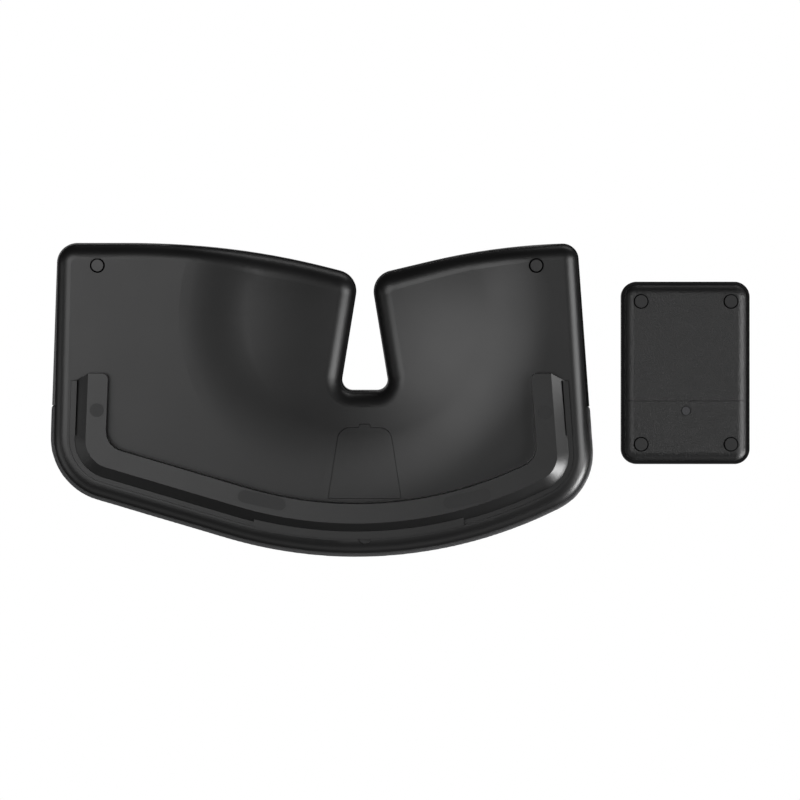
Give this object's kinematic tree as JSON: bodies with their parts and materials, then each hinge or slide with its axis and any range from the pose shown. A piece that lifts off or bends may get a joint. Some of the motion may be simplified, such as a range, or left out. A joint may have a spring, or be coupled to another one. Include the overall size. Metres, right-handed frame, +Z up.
{
  "type": "ergonomic keyboard",
  "caption": "Domed, split-layout keyboard with a notched rear, padded palm rest, clip-on front riser and battery bay, with a separate number keypad.",
  "frame": {"origin": "middle of the whole set in plan, on the desk top", "axes": "+X to the user's right, +Y to the rear, +Z up; the keypad is on the -X side"},
  "size_m": [0.5059, 0.2275, 0.0559],
  "materials": {
    "case_plastic": "satin black moulded plastic",
    "frame_plastic": "semi-gloss black moulded plastic",
    "window": "smoked clear plastic",
    "switch_plastic": "ridged black plastic",
    "steel_plate": "bent steel sheet",
    "contact_film": "printed plastic film",
    "dome_rubber": "soft silicone rubber",
    "key_plastic": "matt black keycap plastic",
    "inner_plastic": "plain black moulded plastic",
    "palm_rest_skin": "padded, fine-grained leatherette",
    "cell_can": "wrapped steel can",
    "contact_metal": "nickel-plated spring steel",
    "grip_rubber": "dull black rubber",
    "magnet": "nickel-plated magnet",
    "board": "green circuit board",
    "foot_rubber": "dull black rubber",
    "screw_steel": "dark plated steel",
    "keypad_plastic": "fine-grained black plastic"
  },
  "bodies": {
    "keyboard": {"bottom_case": "case_plastic", "top_frame": "frame_plastic", "indicator_window": "window", "key_base_plate": "steel_plate", "contact_sheet": "contact_film", "rubber_domes": "dome_rubber", "palm_rest_base": "inner_plastic", "palm_rest_cover": "palm_rest_skin", "battery_tray": "inner_plastic", "aaa_cells": "cell_can", "battery_contacts": "contact_metal", "case_magnets": "magnet", "main_board": "board", "rear_feet": "foot_rubber", "case_screws": "screw_steel", "keypad_bottom_case": "keypad_plastic", "keypad_case_feet": "foot_rubber", "keypad_top_frame": "frame_plastic", "keypad_base_plate": "steel_plate", "keypad_contact_sheet": "contact_film", "keypad_rubber_domes": "dome_rubber", "keypad_board": "board", "keypad_coin_cell": "contact_metal"},
    "riser": {"riser_shell": "case_plastic", "riser_round_pads": "grip_rubber", "riser_oblong_pads": "grip_rubber", "riser_magnets": "magnet"},
    "battery_door": {"battery_door": "case_plastic"},
    "function_switch": {"function_switch": "switch_plastic"},
    "keypad_door": {"keypad_battery_door": "keypad_plastic", "keypad_door_feet": "foot_rubber", "keypad_door_screw": "screw_steel"},
    "escape_key": {"escape_key": "key_plastic"},
    "left_function_keys": {"left_function_keys": "key_plastic"},
    "right_function_keys": {"right_function_keys": "key_plastic"},
    "left_number_keys": {"left_number_keys": "key_plastic"},
    "right_number_keys": {"right_number_keys": "key_plastic"},
    "backspace_key": {"backspace_key": "key_plastic"},
    "tab_key": {"tab_key": "key_plastic"},
    "left_top_letter_keys": {"left_top_letter_keys": "key_plastic"},
    "right_top_letter_keys": {"right_top_letter_keys": "key_plastic"},
    "caps_lock_key": {"caps_lock_key": "key_plastic"},
    "left_home_letter_keys": {"left_home_letter_keys": "key_plastic"},
    "right_home_letter_keys": {"right_home_letter_keys": "key_plastic"},
    "enter_key": {"enter_key": "key_plastic"},
    "left_shift_key": {"left_shift_key": "key_plastic"},
    "left_bottom_letter_keys": {"left_bottom_letter_keys": "key_plastic"},
    "right_bottom_letter_keys": {"right_bottom_letter_keys": "key_plastic"},
    "right_shift_key": {"right_shift_key": "key_plastic"},
    "left_modifier_keys": {"left_modifier_keys": "key_plastic"},
    "right_modifier_keys": {"right_modifier_keys": "key_plastic"},
    "navigation_keys": {"navigation_keys": "key_plastic"},
    "arrow_keys": {"arrow_keys": "key_plastic"},
    "space_bar": {"space_bar": "key_plastic"},
    "keypad_function_keys": {"keypad_function_keys": "key_plastic"},
    "keypad_operator_keys": {"keypad_operator_keys": "key_plastic"},
    "keypad_number_keys": {"keypad_number_keys": "key_plastic"},
    "keypad_zero_key": {"keypad_zero_key": "key_plastic"},
    "keypad_plus_key": {"keypad_plus_key": "key_plastic"},
    "keypad_enter_key": {"keypad_enter_key": "key_plastic"}
  },
  "joints": [
    {"name": "riser_pull_off", "type": "slide", "parent": "keyboard", "child": "riser", "axis": [0, -0.0698, -0.9976], "range_m": [0, 0.03]},
    {"name": "battery_door_lift_out", "type": "slide", "parent": "keyboard", "child": "battery_door", "axis": [0, -0.0698, -0.9976], "range_m": [0, 0.012]},
    {"name": "function_switch_slide", "type": "slide", "parent": "keyboard", "child": "function_switch", "axis": [0.9976, -0.0696, 0.0049], "range_m": [0, 0.004]},
    {"name": "keypad_door_lift_out", "type": "slide", "parent": "keyboard", "child": "keypad_door", "axis": [0, 0, -1], "range_m": [0, 0.015]},
    {"name": "escape_key_press", "type": "slide", "parent": "keyboard", "child": "escape_key", "axis": [0.2596, -0.141, -0.9554], "range_m": [0, 0.002], "stiffness_N_per_m": 300, "springref_m": -0.001, "deforming": ["rubber_domes"]},
    {"name": "left_function_keys_press", "type": "slide", "parent": "keyboard", "child": "left_function_keys", "axis": [0.1429, -0.1375, -0.9801], "range_m": [0, 0.002], "stiffness_N_per_m": 300, "springref_m": -0.001, "deforming": ["rubber_domes"]},
    {"name": "right_function_keys_press", "type": "slide", "parent": "keyboard", "child": "right_function_keys", "axis": [-0.1588, -0.1291, -0.9788], "range_m": [0, 0.002], "stiffness_N_per_m": 300, "springref_m": -0.001, "deforming": ["rubber_domes"]},
    {"name": "left_number_keys_press", "type": "slide", "parent": "keyboard", "child": "left_number_keys", "axis": [0.171, -0.1055, -0.9796], "range_m": [0, 0.002], "stiffness_N_per_m": 300, "springref_m": -0.001, "deforming": ["rubber_domes"]},
    {"name": "right_number_keys_press", "type": "slide", "parent": "keyboard", "child": "right_number_keys", "axis": [-0.1544, -0.0995, -0.983], "range_m": [0, 0.002], "stiffness_N_per_m": 300, "springref_m": -0.001, "deforming": ["rubber_domes"]},
    {"name": "backspace_key_press", "type": "slide", "parent": "keyboard", "child": "backspace_key", "axis": [-0.2074, -0.0991, -0.9732], "range_m": [0, 0.002], "stiffness_N_per_m": 300, "springref_m": -0.001, "deforming": ["rubber_domes"]},
    {"name": "tab_key_press", "type": "slide", "parent": "keyboard", "child": "tab_key", "axis": [0.2807, -0.0747, -0.9569], "range_m": [0, 0.002], "stiffness_N_per_m": 300, "springref_m": -0.001, "deforming": ["rubber_domes"]},
    {"name": "left_top_letter_keys_press", "type": "slide", "parent": "keyboard", "child": "left_top_letter_keys", "axis": [0.1503, -0.0651, -0.9865], "range_m": [0, 0.002], "stiffness_N_per_m": 300, "springref_m": -0.001, "deforming": ["rubber_domes"]},
    {"name": "right_top_letter_keys_press", "type": "slide", "parent": "keyboard", "child": "right_top_letter_keys", "axis": [-0.1738, -0.0642, -0.9827], "range_m": [0, 0.002], "stiffness_N_per_m": 300, "springref_m": -0.001, "deforming": ["rubber_domes"]},
    {"name": "caps_lock_key_press", "type": "slide", "parent": "keyboard", "child": "caps_lock_key", "axis": [0.282, -0.0355, -0.9588], "range_m": [0, 0.002], "stiffness_N_per_m": 300, "springref_m": -0.001, "deforming": ["rubber_domes"]},
    {"name": "left_home_letter_keys_press", "type": "slide", "parent": "keyboard", "child": "left_home_letter_keys", "axis": [0.151, -0.0255, -0.9882], "range_m": [0, 0.002], "stiffness_N_per_m": 300, "springref_m": -0.001, "deforming": ["rubber_domes"]},
    {"name": "right_home_letter_keys_press", "type": "slide", "parent": "keyboard", "child": "right_home_letter_keys", "axis": [-0.1705, -0.0223, -0.9851], "range_m": [0, 0.002], "stiffness_N_per_m": 300, "springref_m": -0.001, "deforming": ["rubber_domes"]},
    {"name": "enter_key_press", "type": "slide", "parent": "keyboard", "child": "enter_key", "axis": [-0.1911, -0.0498, -0.9803], "range_m": [0, 0.002], "stiffness_N_per_m": 300, "springref_m": -0.001, "deforming": ["rubber_domes"]},
    {"name": "left_shift_key_press", "type": "slide", "parent": "keyboard", "child": "left_shift_key", "axis": [0.2787, 0.0033, -0.9604], "range_m": [0, 0.002], "stiffness_N_per_m": 300, "springref_m": -0.001, "deforming": ["rubber_domes"]},
    {"name": "left_bottom_letter_keys_press", "type": "slide", "parent": "keyboard", "child": "left_bottom_letter_keys", "axis": [0.1457, 0.0152, -0.9892], "range_m": [0, 0.002], "stiffness_N_per_m": 300, "springref_m": -0.001, "deforming": ["rubber_domes"]},
    {"name": "right_bottom_letter_keys_press", "type": "slide", "parent": "keyboard", "child": "right_bottom_letter_keys", "axis": [-0.151, 0.0201, -0.9883], "range_m": [0, 0.002], "stiffness_N_per_m": 300, "springref_m": -0.001, "deforming": ["rubber_domes"]},
    {"name": "right_shift_key_press", "type": "slide", "parent": "keyboard", "child": "right_shift_key", "axis": [-0.2221, -0.0158, -0.9749], "range_m": [0, 0.002], "stiffness_N_per_m": 300, "springref_m": -0.001, "deforming": ["rubber_domes"]},
    {"name": "left_modifier_keys_press", "type": "slide", "parent": "keyboard", "child": "left_modifier_keys", "axis": [0.2113, 0.036, -0.9768], "range_m": [0, 0.002], "stiffness_N_per_m": 300, "springref_m": -0.001, "deforming": ["rubber_domes"]},
    {"name": "right_modifier_keys_press", "type": "slide", "parent": "keyboard", "child": "right_modifier_keys", "axis": [-0.2013, 0.0264, -0.9792], "range_m": [0, 0.002], "stiffness_N_per_m": 300, "springref_m": -0.001, "deforming": ["rubber_domes"]},
    {"name": "navigation_keys_press", "type": "slide", "parent": "keyboard", "child": "navigation_keys", "axis": [-0.0058, -0.0698, -0.9975], "range_m": [0, 0.002], "stiffness_N_per_m": 300, "springref_m": -0.001, "deforming": ["rubber_domes"]},
    {"name": "arrow_keys_press", "type": "slide", "parent": "keyboard", "child": "arrow_keys", "axis": [0, -0.0698, -0.9976], "range_m": [0, 0.002], "stiffness_N_per_m": 300, "springref_m": -0.001, "deforming": ["rubber_domes"]},
    {"name": "space_bar_press", "type": "slide", "parent": "keyboard", "child": "space_bar", "axis": [-0.0041, 0.0816, -0.9967], "range_m": [0, 0.002], "stiffness_N_per_m": 300, "springref_m": -0.001, "deforming": ["rubber_domes"]},
    {"name": "keypad_function_keys_press", "type": "slide", "parent": "keyboard", "child": "keypad_function_keys", "axis": [0, 0, -1], "range_m": [0, 0.002], "stiffness_N_per_m": 300, "springref_m": -0.001, "deforming": ["keypad_rubber_domes"]},
    {"name": "keypad_operator_keys_press", "type": "slide", "parent": "keyboard", "child": "keypad_operator_keys", "axis": [0, 0, -1], "range_m": [0, 0.002], "stiffness_N_per_m": 300, "springref_m": -0.001, "deforming": ["keypad_rubber_domes"]},
    {"name": "keypad_number_keys_press", "type": "slide", "parent": "keyboard", "child": "keypad_number_keys", "axis": [0, 0, -1], "range_m": [0, 0.002], "stiffness_N_per_m": 300, "springref_m": -0.001, "deforming": ["keypad_rubber_domes"]},
    {"name": "keypad_zero_key_press", "type": "slide", "parent": "keyboard", "child": "keypad_zero_key", "axis": [0, 0, -1], "range_m": [0, 0.002], "stiffness_N_per_m": 300, "springref_m": -0.001, "deforming": ["keypad_rubber_domes"]},
    {"name": "keypad_plus_key_press", "type": "slide", "parent": "keyboard", "child": "keypad_plus_key", "axis": [0, 0, -1], "range_m": [0, 0.002], "stiffness_N_per_m": 300, "springref_m": -0.001, "deforming": ["keypad_rubber_domes"]},
    {"name": "keypad_enter_key_press", "type": "slide", "parent": "keyboard", "child": "keypad_enter_key", "axis": [0, 0, -1], "range_m": [0, 0.002], "stiffness_N_per_m": 300, "springref_m": -0.001, "deforming": ["keypad_rubber_domes"]}
  ]
}
